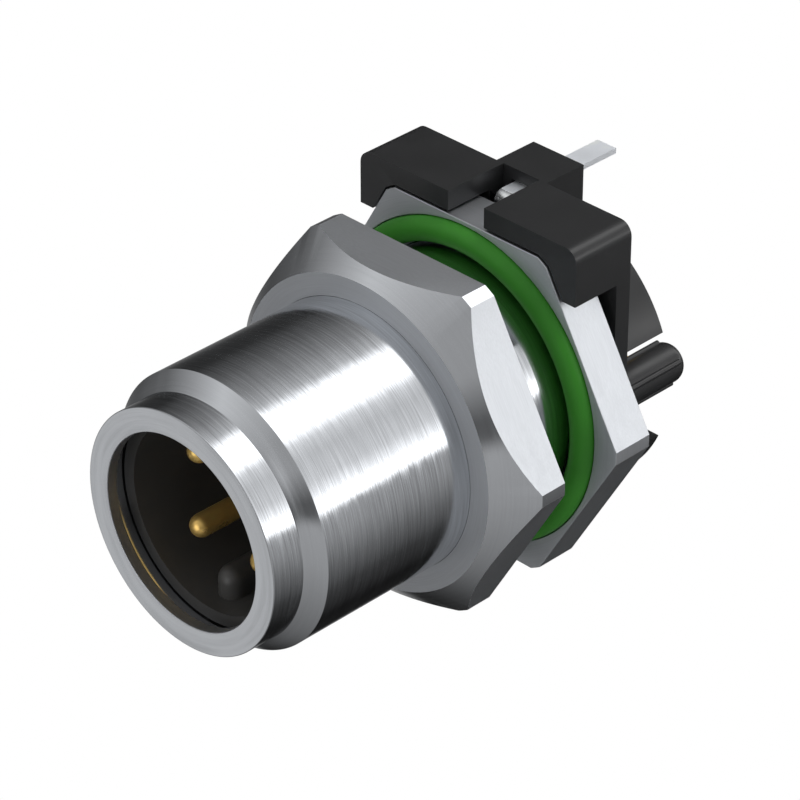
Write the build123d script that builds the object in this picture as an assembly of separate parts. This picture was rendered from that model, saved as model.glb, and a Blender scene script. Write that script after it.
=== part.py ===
from build123d import *
from math import cos, radians, sin
import os

# Straight M12 male panel connector with four contacts, for a circuit board that stands
# behind the panel and square to the connector.
# Millimetres. The connector axis is Y: the mating face looks along -Y, the tails along +Y.
# The origin is on the axis, in the flange face that seats on the panel. +Z is up.

# Housing, turned from one hexagon bar
thread_d = 12.0
thread_chamfer = 0.5
nose_d = 10.6
nose_length = 1.55
lead_ring_width = 0.2
lead_ring_depth = 0.15
barrel_length = 15.8
mating_bore_d = 8.5
lip_thickness = 0.5
hex_flats = 15.0
hex_turned_d = 17.0
flange_thickness = 2.0

# Panel seal and its face groove, which is open to the barrel
panel_seal_cord = 1.1
panel_seal_mid_d = 13.42
panel_groove_depth = 0.55
panel_groove_side_gap = 0.04

# Lock nut
nut_thickness = 2.8
nut_stand_off = 3.0
nut_face_d = 14.0
nut_thread_gap = 0.05

# Contact insert
insert_d = 9.4
insert_gap = 0.08
insert_setback = 1.3
insert_socket_d = 8.28
socket_depth = 7.7
insert_shoulder_d = 10.4
insert_neck_d = 7.2
key_width = 1.2
key_height = 1.3
key_setback = 0.8
insert_seal_cord = 0.82
insert_seal_setback = 3.6
insert_groove_side_gap = 0.14

# Contacts
contact_circle_d = 5.0
contact_d = 1.0
contact_tip_setback = 2.2
contact_collar_d = 1.5
contact_collar_length = 0.8
contact_angles = (45, 135, 225, 315)
tail_d = 0.8
tail_chamfer = 0.15
tail_reach = 2.6
contact_gap = 0.02

# Retainer that closes the insert behind the contact collars
retainer_thickness = 1.2
retainer_spigot_d = 1.2
retainer_spigot_length = 1.4
retainer_spigot_end_gap = 0.2

# Board carrier
carrier_width = 12.06
carrier_gap = 0.5
plate_thickness = 0.8
shroud_d = 13.0
shroud_wall = 1.2
shroud_height = 2.2
peg_opening = 5.0
clip_top = 8.52
clip_bottom = 6.0
clip_setback = 0.05
clip_corner_round = 0.6
clip_hex_gap = 0.1
notch_width = 2.0
notch_drop = 0.5
block_width = 2.8
neck_gap = 0.03

# Board pegs on the carrier
peg_pitch = 10.0
peg_d = 1.78
peg_reach = 1.9
peg_tip_round = 0.55
peg_rib_d = 0.26
peg_rib_count = 4
peg_rib_angle = 27.0

# Shield lug, bent from one strip
lug_thickness = 0.24
lug_width = 1.04
lug_top = 7.8
lug_bend = 0.45
lug_leg_end = 5.5
lug_reach = 3.03
lug_end_chamfer = 0.06
lug_dimple_z = 6.2
window_side_gap = 0.06
window_under_gap = 0.04
window_over_gap = 0.18

# Places along the axis that several pieces share
rim_y = -barrel_length
flange_back_y = flange_thickness
plate_front_y = flange_back_y + carrier_gap
plate_back_y = plate_front_y + plate_thickness
board_y = plate_back_y + shroud_height
insert_front_y = rim_y + insert_setback
socket_floor_y = insert_front_y + socket_depth
retainer_front_y = board_y - retainer_thickness
nut_back_y = -nut_stand_off
nut_front_y = nut_back_y - nut_thickness
insert_seal_y = flange_back_y - insert_seal_setback
housing_bore_d = insert_d + 2 * insert_gap
cut_reach = 30.0


def facing_plane(y):
    """Plane across the axis at y, seen from the mating side: local x is +X and local y is +Z."""
    return Plane(origin=(0, y, 0), x_dir=(1, 0, 0), z_dir=(0, -1, 0))


def slab(outline, front_y, back_y):
    """Flat outline in X and Z, made solid from front_y back to back_y."""
    return extrude(facing_plane(front_y) * outline, amount=front_y - back_y)


def turned(points):
    """Solid turned about the connector axis from (radius, y) points."""
    return revolve(make_face(Polyline(*points, close=True)), Axis.Y)


def round_bar(diameter, front_y, back_y):
    """Plain round bar on the axis."""
    return slab(Circle(diameter / 2), front_y, back_y)


def ring_of_cord(mid_diameter, cord, y):
    """Seal ring of round cord, lying across the axis at y."""
    section = Pos(mid_diameter / 2, y) * Circle(cord / 2)
    return revolve(section, Axis.Y)


def hexagon(flats):
    """Hexagon with one flat on top, by its width across flats."""
    return RegularPolygon(flats / 2, 6, major_radius=False)


def make_housing():
    """Nose, threaded barrel and hexagon flange with the bore through them."""
    nose_r = nose_d / 2
    ring_r = nose_r + lead_ring_width
    ring_y = rim_y + nose_length + lead_ring_depth
    thread_r = thread_d / 2
    thread_y = ring_y + thread_chamfer
    body = turned([
        (0, rim_y),
        (nose_r, rim_y),
        (nose_r, rim_y + nose_length),
        (ring_r, ring_y),
        (thread_r, thread_y),
        (thread_r, 0),
        (0, 0),
    ])
    blank = round_bar(hex_turned_d, 0, flange_back_y)
    flange = blank & slab(hexagon(hex_flats), 0, flange_back_y)
    body = body + flange
    body -= round_bar(mating_bore_d, rim_y, flange_back_y)
    body -= round_bar(housing_bore_d, rim_y + lip_thickness, flange_back_y)
    groove_width = panel_seal_cord + 2 * panel_groove_side_gap
    groove_outer_d = panel_seal_mid_d + groove_width
    groove = round_bar(groove_outer_d, 0, panel_groove_depth)
    groove -= round_bar(thread_d, 0, panel_groove_depth)
    return body - groove


def make_flange_o_ring():
    """Panel seal, standing in its groove with its front proud of the flange."""
    return ring_of_cord(panel_seal_mid_d, panel_seal_cord, panel_groove_depth - panel_seal_cord / 2)


def make_hex_nut():
    """Lock nut: a turned blank with one chamfered face, milled to a hexagon."""
    bore_r = thread_d / 2 + nut_thread_gap
    face_r = nut_face_d / 2
    corner_r = hex_turned_d / 2
    blank = turned([
        (bore_r, nut_front_y),
        (face_r, nut_front_y),
        (corner_r, nut_front_y + corner_r - face_r),
        (corner_r, nut_back_y),
        (bore_r, nut_back_y),
    ])
    return blank & slab(hexagon(hex_flats), nut_front_y, nut_back_y)


def contact_places():
    """Centres of the contacts in X and Z, evenly spaced round their circle."""
    r = contact_circle_d / 2
    places = []
    for angle in contact_angles:
        places.append((r * cos(radians(angle)), r * sin(radians(angle))))
    return places


def make_contact(place, gap=0.0):
    """Contact with a round nose, a retaining collar and a board tail, grown all round by gap."""
    pin_r = contact_d / 2 + gap
    collar_r = contact_collar_d / 2 + gap
    tail_r = tail_d / 2 + gap
    tip_y = rim_y + contact_tip_setback - gap
    collar_back_y = retainer_front_y
    collar_front_y = collar_back_y - contact_collar_length - gap
    tail_end_y = board_y + tail_reach + gap
    shank = Line((pin_r, tip_y + pin_r), (pin_r, collar_front_y))
    rest = Polyline(
        (pin_r, collar_front_y),
        (collar_r, collar_front_y),
        (collar_r, collar_back_y),
        (tail_r, collar_back_y),
        (tail_r, tail_end_y - tail_chamfer),
        (tail_r - tail_chamfer, tail_end_y),
        (0, tail_end_y),
        (0, tip_y),
    )
    nose = RadiusArc((0, tip_y), (pin_r, tip_y + pin_r), -pin_r)
    pin = revolve(make_face(nose + shank + rest), Axis.Y)
    return Pos(place[0], 0, place[1]) * pin


def make_key():
    """Coding key: a rib on the floor side of the socket wall with a round back and a round nose."""
    key_r = key_width / 2
    crest_z = -insert_socket_d / 2 + key_height - key_r
    root_z = -(insert_d + insert_socket_d) / 4
    nose_y = insert_front_y + key_setback + key_r
    outline = Pos(0, (crest_z + root_z) / 2) * Rectangle(key_width, crest_z - root_z)
    outline += Pos(0, crest_z) * Circle(key_r)
    rib = slab(outline, nose_y, socket_floor_y)
    post = Pos(0, nose_y, root_z) * extrude(Circle(key_r), amount=crest_z - root_z)
    return rib + post + Pos(0, nose_y, crest_z) * Sphere(key_r)


def make_contact_insert():
    """Moulded insert: keyed socket in front, seal groove, shoulder and neck behind."""
    body = round_bar(insert_d, insert_front_y, plate_front_y)
    body += round_bar(insert_shoulder_d, flange_back_y, plate_front_y)
    body += round_bar(insert_neck_d, plate_front_y, retainer_front_y)
    body -= round_bar(insert_socket_d, insert_front_y, socket_floor_y)
    body += make_key()
    groove_half = insert_seal_cord / 2 + insert_groove_side_gap
    groove_floor_d = housing_bore_d - 2 * insert_seal_cord
    groove = round_bar(insert_d, insert_seal_y - groove_half, insert_seal_y + groove_half)
    groove -= round_bar(groove_floor_d, insert_seal_y - groove_half, insert_seal_y + groove_half)
    body -= groove
    spigot_hole_length = retainer_spigot_length + retainer_spigot_end_gap
    spigot_hole_d = retainer_spigot_d + 2 * contact_gap
    body -= round_bar(spigot_hole_d, retainer_front_y - spigot_hole_length, retainer_front_y)
    for place in contact_places():
        body -= make_contact(place, contact_gap)
    return body


def make_contact_retainer():
    """Disc behind the contact collars, with a spigot into the insert and a hole for each tail."""
    body = round_bar(insert_neck_d, retainer_front_y, board_y)
    body += round_bar(retainer_spigot_d, retainer_front_y - retainer_spigot_length, retainer_front_y)
    for place in contact_places():
        body -= make_contact(place, contact_gap)
    return body


def make_insert_seal():
    """Seal between the insert and the housing bore."""
    return ring_of_cord(housing_bore_d - insert_seal_cord, insert_seal_cord, insert_seal_y)


def upright_outline(width, bottom, top, corner_round=0.0):
    """Rectangle centred on X, from bottom to top in Z, with its two top corners rounded."""
    outline = Pos(0, (bottom + top) / 2) * Rectangle(width, top - bottom)
    if corner_round > 0:
        top_corners = outline.vertices().group_by(Axis.Y)[-1]
        outline = fillet(top_corners, corner_round)
    return outline


def make_clip():
    """Two arms that hold the top corners of the hexagon flange, with the notch between them."""
    front_y = clip_setback
    outline = upright_outline(carrier_width, clip_bottom, clip_top, clip_corner_round)
    clip = slab(outline, front_y, plate_back_y)
    seat_flats = hex_flats + 2 * clip_hex_gap
    seat = slab(hexagon(seat_flats), front_y, plate_front_y)
    seat &= round_bar(hex_turned_d + 2 * clip_hex_gap, front_y, plate_front_y)
    return clip - seat


def make_plate():
    """Plate behind the flange: a disc with two flats, carried up to the clip."""
    disc = Circle(shroud_d / 2) & Rectangle(carrier_width, shroud_d)
    upright = upright_outline(carrier_width, 0, clip_top, clip_corner_round)
    return slab(disc + upright, plate_front_y, plate_back_y)


def make_shroud():
    """Stand-off wall for the board, open at both sides where the pegs stand."""
    ring = Circle(shroud_d / 2) - Circle(shroud_d / 2 - shroud_wall)
    ring &= Rectangle(carrier_width, shroud_d)
    ring -= Rectangle(shroud_d, peg_opening)
    return slab(ring, plate_back_y, board_y)


def make_peg(side):
    """Board peg with crush ribs that stop short of its rounded end."""
    tip_y = board_y + peg_reach
    rib_end_y = tip_y - peg_tip_round
    peg = round_bar(peg_d, plate_back_y, tip_y)
    peg = fillet(peg.edges().sort_by(Axis.Y)[-1], peg_tip_round)
    for i in range(peg_rib_count):
        angle = radians(peg_rib_angle + i * 360 / peg_rib_count)
        rib = Pos(peg_d / 2 * cos(angle), 0, peg_d / 2 * sin(angle))
        peg += rib * round_bar(peg_rib_d, plate_back_y, rib_end_y)
    return Pos(side * peg_pitch / 2, 0, 0) * peg


def make_board_carrier():
    """Moulded carrier: clip, plate, board stand-off, lug block and pegs in one piece."""
    body = make_clip() + make_plate() + make_shroud()
    block = upright_outline(block_width, shroud_d / 2 - shroud_wall, clip_top)
    body += slab(block, plate_back_y, board_y)
    notch_floor = hex_flats / 2 - notch_drop
    notch = upright_outline(notch_width, notch_floor, clip_top)
    body -= slab(notch, clip_setback, plate_back_y)
    window_bottom = lug_top - lug_thickness - window_under_gap
    window_top = lug_top + window_over_gap
    window = upright_outline(lug_width + 2 * window_side_gap, window_bottom, window_top)
    body -= slab(window, plate_back_y, board_y)
    body -= round_bar(insert_neck_d + 2 * neck_gap, plate_front_y, board_y)
    return body + make_peg(-1) + make_peg(1)


def make_shield_lug():
    """Shield lug: a strip bent down behind the flange, with a dimple that touches it."""
    leg_front_y = plate_front_y - lug_thickness
    end_y = board_y + lug_reach
    inner_bend = lug_bend - lug_thickness
    side = make_face(Polyline(
        (end_y, lug_top),
        (leg_front_y, lug_top),
        (leg_front_y, lug_leg_end),
        (plate_front_y, lug_leg_end),
        (plate_front_y, lug_top - lug_thickness),
        (end_y, lug_top - lug_thickness),
        close=True,
    ))
    outer_corner = side.vertices().sort_by_distance((leg_front_y, lug_top, 0))[0]
    side = fillet(outer_corner, lug_bend)
    inner_corner = side.vertices().sort_by_distance((plate_front_y, lug_top - lug_thickness, 0))[0]
    side = fillet(inner_corner, inner_bend)
    strip = extrude(Plane.YZ * side, amount=lug_width / 2, both=True)
    end_edges = strip.faces().sort_by(Axis.Y)[-1].edges().filter_by(Axis.Z)
    strip = chamfer(end_edges, lug_end_chamfer)
    dimple_reach = leg_front_y - flange_back_y
    dimple_r = (dimple_reach ** 2 + (lug_width / 3) ** 2) / (2 * dimple_reach)
    dimple = Pos(0, flange_back_y + dimple_r, lug_dimple_z) * Sphere(dimple_r)
    keep = upright_outline(lug_width, lug_leg_end, lug_top)
    dimple &= slab(keep, flange_back_y, leg_front_y + lug_thickness / 2)
    return strip + dimple


def write_parts():
    """Build each piece once and write it under its own name."""
    pieces = {
        "housing": make_housing(),
        "flange_o_ring": make_flange_o_ring(),
        "hex_nut": make_hex_nut(),
        "contact_insert": make_contact_insert(),
        "insert_seal": make_insert_seal(),
        "contact_retainer": make_contact_retainer(),
        "board_carrier": make_board_carrier(),
        "shield_lug": make_shield_lug(),
    }
    for number, place in enumerate(contact_places(), start=1):
        pieces[f"contact_pin_{number}"] = make_contact(place)
    os.makedirs("parts", exist_ok=True)
    for name, shape in pieces.items():
        export_step(shape, f"parts/{name}.step")


write_parts()
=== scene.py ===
"""Looks of a straight M12 panel connector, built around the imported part.

The metal pieces, the seals, the moulded insert, the board carrier, the contacts and the
shield lug are modelled again at full smoothness, each where its own node is, and dressed in
procedural finishes. Sizes are in millimetres until a piece is finished, and its mesh is then
brought to metres in the part's frame: the connector axis is Y, the mating face looks along
-Y, +Z is up and the origin lies in the flange face that seats on the panel.
"""
import logging
import math
from dataclasses import dataclass
from enum import Enum, IntEnum

import bpy
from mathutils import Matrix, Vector


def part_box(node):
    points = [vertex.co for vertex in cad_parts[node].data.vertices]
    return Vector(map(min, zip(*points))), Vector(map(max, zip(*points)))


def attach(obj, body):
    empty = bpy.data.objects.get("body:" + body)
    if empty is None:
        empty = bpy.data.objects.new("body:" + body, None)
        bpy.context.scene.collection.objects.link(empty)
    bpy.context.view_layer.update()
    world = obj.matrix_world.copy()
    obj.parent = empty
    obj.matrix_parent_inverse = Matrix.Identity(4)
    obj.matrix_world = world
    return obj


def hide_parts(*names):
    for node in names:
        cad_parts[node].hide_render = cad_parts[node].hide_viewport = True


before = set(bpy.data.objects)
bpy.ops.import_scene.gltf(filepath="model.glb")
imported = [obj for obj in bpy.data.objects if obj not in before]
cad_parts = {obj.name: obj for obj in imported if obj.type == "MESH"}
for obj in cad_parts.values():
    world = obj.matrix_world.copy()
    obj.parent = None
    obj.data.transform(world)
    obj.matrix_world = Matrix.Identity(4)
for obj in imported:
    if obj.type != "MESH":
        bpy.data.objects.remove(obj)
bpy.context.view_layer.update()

LOG = logging.getLogger("connector")
MM = 0.001
MERGE_GAP = 0.0004  # points closer than this are one
NEARNESS = 0.01  # how near an edge's ends lie to the place that is asked for
MARGIN = 1.0  # how far a cutting tool reaches past what it cuts
CLEAR = 9.0  # beyond the part on every side of the axis
ROUND = 256  # steps round the axis for the large metal rounds
BALL_SIDES = 64
SMOOTH_ANGLE = math.radians(13)

Piece = bpy.types.Object
Material = bpy.types.Material
Node = bpy.types.Node
Socket = bpy.types.NodeSocket
Tree = bpy.types.NodeTree
Groups = dict[str, Tree]
Point = tuple[float, float]
Place = tuple[float, float, float]
Colour = tuple[float, float, float]


class Axis(IntEnum):
    """Axes of the part's frame."""

    X = 0
    Y = 1
    Z = 2


class Body(Enum):
    """Rigid bodies of the part that a piece can ride on."""

    CONNECTOR = "connector"
    LOCK_NUT = "lock_nut"


class Cut(Enum):
    """Ways to combine two solids."""

    JOIN = "UNION"
    REMOVE = "DIFFERENCE"
    KEEP_COMMON = "INTERSECT"


class Finish(Enum):
    """Finishes of the connector, with the names of their materials."""

    BRUSHED = "brushed_nickel"
    SMOOTH = "smooth_nickel"
    MILLED = "milled_nickel"
    FACED = "faced_nickel"
    INSERT = "insert_black"
    CARRIER = "carrier_black"
    PANEL_SEAL = "green_rubber"
    BORE_SEAL = "black_rubber"
    GILT = "gilt"
    TIN = "tinned"
    BURNISHED = "burnished_tin"


class Grain(Enum):
    """Outputs of the moulded grain that a roughness can follow."""

    FINE = "Height"
    MOTTLED = "Mottle"


def node_span(node: str, axis: Axis) -> Point:
    """Give the lowest and highest reach of a node along one axis.

    Args:
        node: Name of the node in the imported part.
        axis: The axis.

    Returns:
        The two places in millimetres.
    """
    low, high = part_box(node)
    return low[axis] / MM, high[axis] / MM


def deselect_everything() -> None:
    """Leave edit mode and select nothing."""
    if bpy.context.object and bpy.context.object.mode != "OBJECT":
        bpy.ops.object.mode_set(mode="OBJECT")
    bpy.ops.object.select_all(action="DESELECT")


def make_active(piece: Piece) -> None:
    """Select one piece alone and make it the active one.

    Args:
        piece: The object to work on.
    """
    deselect_everything()
    bpy.context.view_layer.objects.active = piece
    piece.select_set(True)


def added(name: str) -> Piece:
    """Name the primitive that was just added and apply its place and turn.

    Args:
        name: Name of the new piece.

    Returns:
        The object, with its place in its mesh.
    """
    piece = bpy.context.object
    piece.name = name
    piece.data.name = name
    bpy.ops.object.transform_apply(location=True, rotation=True, scale=True)
    return piece


def block(name: str, low: Place, high: Place) -> Piece:
    """Add a rectangular block.

    Args:
        name: Name of the block.
        low: Its lowest corner.
        high: Its highest corner.

    Returns:
        The block's object.
    """
    centre = [(a + b) / 2 for a, b in zip(low, high)]
    size = [b - a for a, b in zip(low, high)]
    deselect_everything()
    bpy.ops.mesh.primitive_cube_add(size=1, location=centre, scale=size)
    return added(name)


def bar(name: str, radius: float, y: Point, sides: int, place: Point = (0, 0)) -> Piece:
    """Add a straight bar along Y, round or with a few flat sides.

    Args:
        name: Name of the bar.
        radius: Distance from its centre line to its corners.
        y: Where it starts and ends along Y.
        sides: Number of sides, six for a hexagon with a corner towards +X.
        place: Its centre line's X and Z.

    Returns:
        The bar's object.
    """
    deselect_everything()
    bpy.ops.mesh.primitive_cylinder_add(
        vertices=sides,
        radius=radius,
        depth=y[1] - y[0],
        location=(place[0], (y[0] + y[1]) / 2, place[1]),
        rotation=(math.pi / 2, 0, 0),
    )
    return added(name)
def ball(name: str, radius: float, centre: Place) -> Piece:
    """Add a ball.

    Args:
        name: Name of the ball.
        radius: Its radius.
        centre: Its centre.

    Returns:
        The ball's object.
    """
    deselect_everything()
    bpy.ops.mesh.primitive_uv_sphere_add(
        segments=BALL_SIDES, ring_count=BALL_SIDES // 2, radius=radius, location=centre
    )
    return added(name)


def hexagon_bar(name: str, flats: float, y: Point) -> Piece:
    """Add a hexagon bar along Y with one flat on top.

    Args:
        name: Name of the bar.
        flats: Width across its flats.
        y: Where it starts and ends along Y.

    Returns:
        The bar's object.
    """
    corner_radius = flats / math.sqrt(3)
    piece = bar(name, corner_radius, y, 6)
    bpy.ops.object.mode_set(mode="EDIT")
    bpy.ops.mesh.select_all(action="SELECT")
    bpy.ops.transform.rotate(value=math.radians(30), orient_axis="Y", center_override=(0, 0, 0))
    bpy.ops.object.mode_set(mode="OBJECT")
    return piece


def turned(name: str, outline: list[Point], segments: int, closed: bool) -> Piece:
    """Turn a piece about the connector axis, one ring after another.

    Args:
        name: Name of the piece.
        outline: Its section as (radius, y) points, in order.
        segments: Number of steps round the axis.
        closed: True where the section is a ring clear of the axis, and False where both of
            its ends are closed by a point on the axis.

    Returns:
        The turned object.
    """
    radius, y = outline[0]
    deselect_everything()
    bpy.ops.mesh.primitive_circle_add(
        vertices=segments,
        radius=radius,
        fill_type="NOTHING",
        location=(0, y, 0),
        rotation=(math.pi / 2, 0, 0),
    )
    piece = added(name)
    bpy.ops.object.mode_set(mode="EDIT")
    bpy.ops.mesh.select_mode(type="EDGE")
    bpy.ops.mesh.select_all(action="SELECT")
    if not closed:
        bpy.ops.mesh.edge_face_add()
    rings = outline[1:] + outline[:1] if closed else outline[1:]
    for next_radius, next_y in rings:
        bpy.ops.mesh.extrude_edges_move(TRANSFORM_OT_translate={"value": (0, next_y - y, 0)})
        scale = next_radius / radius
        bpy.ops.transform.resize(value=(scale, 1, scale), center_override=(0, next_y, 0))
        radius, y = next_radius, next_y
    if not closed:
        bpy.ops.mesh.edge_face_add()
    bpy.ops.mesh.select_all(action="SELECT")
    bpy.ops.mesh.remove_doubles(threshold=MERGE_GAP)
    bpy.ops.mesh.normals_make_consistent(inside=False)
    bpy.ops.object.mode_set(mode="OBJECT")
    return piece


def arc(centre: Point, radius: float, start: float, end: float, steps: int) -> list[Point]:
    """List the points of a round stretch of a section.

    Args:
        centre: Radius and y of the arc's centre.
        radius: The arc's own radius.
        start: Angle of its first point in degrees, 0 outwards and 90 towards +Y.
        end: Angle of its last point.
        steps: Number of straight steps.

    Returns:
        The points, both ends included.
    """
    points = []
    for i in range(steps + 1):
        angle = math.radians(start + (end - start) * i / steps)
        points.append((centre[0] + radius * math.cos(angle), centre[1] + radius * math.sin(angle)))
    return points


def combine(piece: Piece, tool: Piece, cut: Cut) -> Piece:
    """Join, cut or trim a piece with another solid, which is used up.

    Args:
        piece: The solid that stays.
        tool: The solid that is used up.
        cut: How the two are combined.

    Returns:
        The piece that stays.
    """
    make_active(piece)
    modifier = piece.modifiers.new(cut.name.lower(), "BOOLEAN")
    modifier.operation = cut.value
    modifier.solver = "EXACT"
    modifier.object = tool
    bpy.ops.object.modifier_apply(modifier=modifier.name)
    bpy.data.objects.remove(tool)
    return piece


def soften(piece: Piece, width: float, segments: int, angle: float = 30) -> None:
    """Round all sharp edges of a piece a little.

    Args:
        piece: The object to soften.
        width: Width of the rounding in millimetres.
        segments: Steps across the rounding.
        angle: Smallest turn between two faces that counts as sharp, in degrees.
    """
    make_active(piece)
    modifier = piece.modifiers.new("soften", "BEVEL")
    modifier.width = width
    modifier.segments = segments
    modifier.limit_method = "ANGLE"
    modifier.angle_limit = math.radians(angle)
    modifier.use_clamp_overlap = True
    modifier.miter_outer = "MITER_ARC"
    bpy.ops.object.modifier_apply(modifier=modifier.name)

def bevel_at(piece: Piece, width: float, steps: int, *places: dict[Axis, float]) -> None:
    """Bevel the edges that lie wholly at one of the given places.

    Args:
        piece: The object whose edges are bevelled.
        width: Width of the bevel, or radius of a rounding.
        steps: Steps across it, one for a flat chamfer.
        places: For each place, the coordinates that both ends of an edge have there.
    """
    make_active(piece)
    bpy.ops.object.mode_set(mode="EDIT")
    bpy.ops.mesh.select_mode(type="EDGE")
    bpy.ops.mesh.select_all(action="DESELECT")
    bpy.ops.object.mode_set(mode="OBJECT")
    for edge in piece.data.edges:
        ends = [piece.data.vertices[i].co for i in edge.vertices]
        edge.select = any(
            all(abs(end[axis] - at) < NEARNESS for end in ends for axis, at in place.items())
            for place in places
        )
    bpy.ops.object.mode_set(mode="EDIT")
    bpy.ops.mesh.bevel(offset=width, segments=steps, affect="EDGES")
    bpy.ops.object.mode_set(mode="OBJECT")


def drill(piece: Piece, places: list[Point], radius: float, y: Point, sides: int) -> None:
    """Drill a hole along Y at each place.

    Args:
        piece: The object to drill.
        places: X and Z of each hole.
        radius: Radius of the holes.
        y: Where what is drilled starts and ends along Y.
        sides: Number of sides of a hole.
    """
    reach = (y[0] - MARGIN, y[1] + MARGIN)
    for place in places:
        combine(piece, bar("drill", radius, reach, sides, place), Cut.REMOVE)


def move(piece: Piece, offset: Place) -> Piece:
    """Move a piece and leave its new place in its mesh.

    Args:
        piece: The object to move.
        offset: How far it goes.

    Returns:
        The same object.
    """
    make_active(piece)
    bpy.ops.transform.translate(value=offset)
    bpy.ops.object.transform_apply(location=True)
    return piece


def finished(piece: Piece, body: Body, slot: str, *nodes: str) -> Piece:
    """Bring a piece to metres, smooth it and hand it to the frame.

    Args:
        piece: The object, in millimetres.
        body: The body that it rides on.
        slot: The record's material slot that it stands for; not used.
        nodes: The nodes that it replaces, none for a piece beside its node's own.

    Returns:
        The finished object.
    """
    make_active(piece)
    piece.scale = (MM, MM, MM)
    bpy.ops.object.transform_apply(location=True, rotation=True, scale=True)
    bpy.ops.object.shade_smooth_by_angle(angle=SMOOTH_ANGLE)
    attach(piece, body.value)
    if nodes:
        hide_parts(*nodes)
    return piece


class Shader:
    """A small hand for placing and joining the nodes of one material, group or world."""

    def __init__(self, tree: Tree) -> None:
        """Take a tree and empty it.

        Args:
            tree: The node tree to fill.
        """
        self.tree = tree
        self.tree.nodes.clear()
        self.column = 0

    def add(self, kind: str, **settings: object) -> Node:
        """Place a node.

        Args:
            kind: The node's type.
            settings: Values of its properties.

        Returns:
            The node.
        """
        node = self.tree.nodes.new(kind)
        node.location = (self.column * 190, 0)
        self.column += 1
        for name, value in settings.items():
            setattr(node, name, value)
        return node

    def feed(self, node: Node, socket: object, source: object) -> None:
        """Give an input a value, or join another node's output to it.

        Args:
            node: The node that is fed.
            socket: Name or number of its input.
            source: A value, or the output socket to join.
        """
        if isinstance(source, Socket):
            self.tree.links.new(source, node.inputs[socket])
        else:
            node.inputs[socket].default_value = source

    def math(self, operation: str, *values: object) -> Socket:
        """Place a math node.

        Args:
            operation: The operation's name.
            values: Its inputs.

        Returns:
            Its output.
        """
        node = self.add("ShaderNodeMath", operation=operation)
        for i, value in enumerate(values):
            self.feed(node, i, value)
        return node.outputs[0]

    def vector(self, operation: str, *values: object) -> Socket:
        """Place a vector math node.

        Args:
            operation: The operation's name.
            values: Its inputs.

        Returns:
            Its vector output, or its value for a length or a dot product.
        """
        node = self.add("ShaderNodeVectorMath", operation=operation)
        for i, value in enumerate(values):
            self.feed(node, "Scale" if operation == "SCALE" and i == 1 else i, value)
        return node.outputs["Value" if operation in ("LENGTH", "DOT_PRODUCT") else "Vector"]

    def span(self, value: object, old: Point, new: Point, smooth: bool = False) -> Socket:
        """Map one span of values to another.

        Args:
            value: The value to map.
            old: The span that it comes from.
            new: The span that it goes to.
            smooth: True to ease in and out.

        Returns:
            The mapped value.
        """
        kind = "SMOOTHSTEP" if smooth else "LINEAR"
        node = self.add("ShaderNodeMapRange", interpolation_type=kind)
        for socket, number in zip((1, 2, 3, 4), (*old, *new)):
            self.feed(node, socket, number)
        self.feed(node, 0, value)
        return node.outputs[0]

    def noise(self, vector: object, w: object = None, detail: float = 2.0) -> Socket:
        """Place a noise texture.

        Args:
            vector: Where it is read, in units of its own scale.
            w: The fourth coordinate, where it has one.
            detail: Number of finer layers.

        Returns:
            Its value, from 0 to 1.
        """
        node = self.add("ShaderNodeTexNoise", noise_dimensions="3D" if w is None else "4D")
        self.feed(node, "Vector", vector)
        self.feed(node, "Scale", 1.0)
        self.feed(node, "Detail", detail)
        if w is not None:
            self.feed(node, "W", w)
        return node.outputs[0]

    def group(self, tree: Tree, **values: object) -> Node:
        """Place a node group.

        Args:
            tree: The group.
            values: Its inputs, with underscores for spaces.

        Returns:
            The group's node.
        """
        node = self.add("ShaderNodeGroup")
        node.node_tree = tree
        for name, value in values.items():
            self.feed(node, name.replace("_", " "), value)
        return node


def new_group(name: str, inputs: dict[str, float], outputs: dict[str, str]) -> Tree:
    """Make an empty shader node group.

    Args:
        name: Name of the group.
        inputs: Its number inputs with their usual values.
        outputs: Its outputs with their socket types.

    Returns:
        The group's node tree.
    """
    tree = bpy.data.node_groups.new(name, "ShaderNodeTree")
    for label, value in inputs.items():
        socket = tree.interface.new_socket(label, in_out="INPUT", socket_type="NodeSocketFloat")
        socket.default_value = value
    for label, kind in outputs.items():
        tree.interface.new_socket(label, in_out="OUTPUT", socket_type=kind)
    return tree


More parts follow.
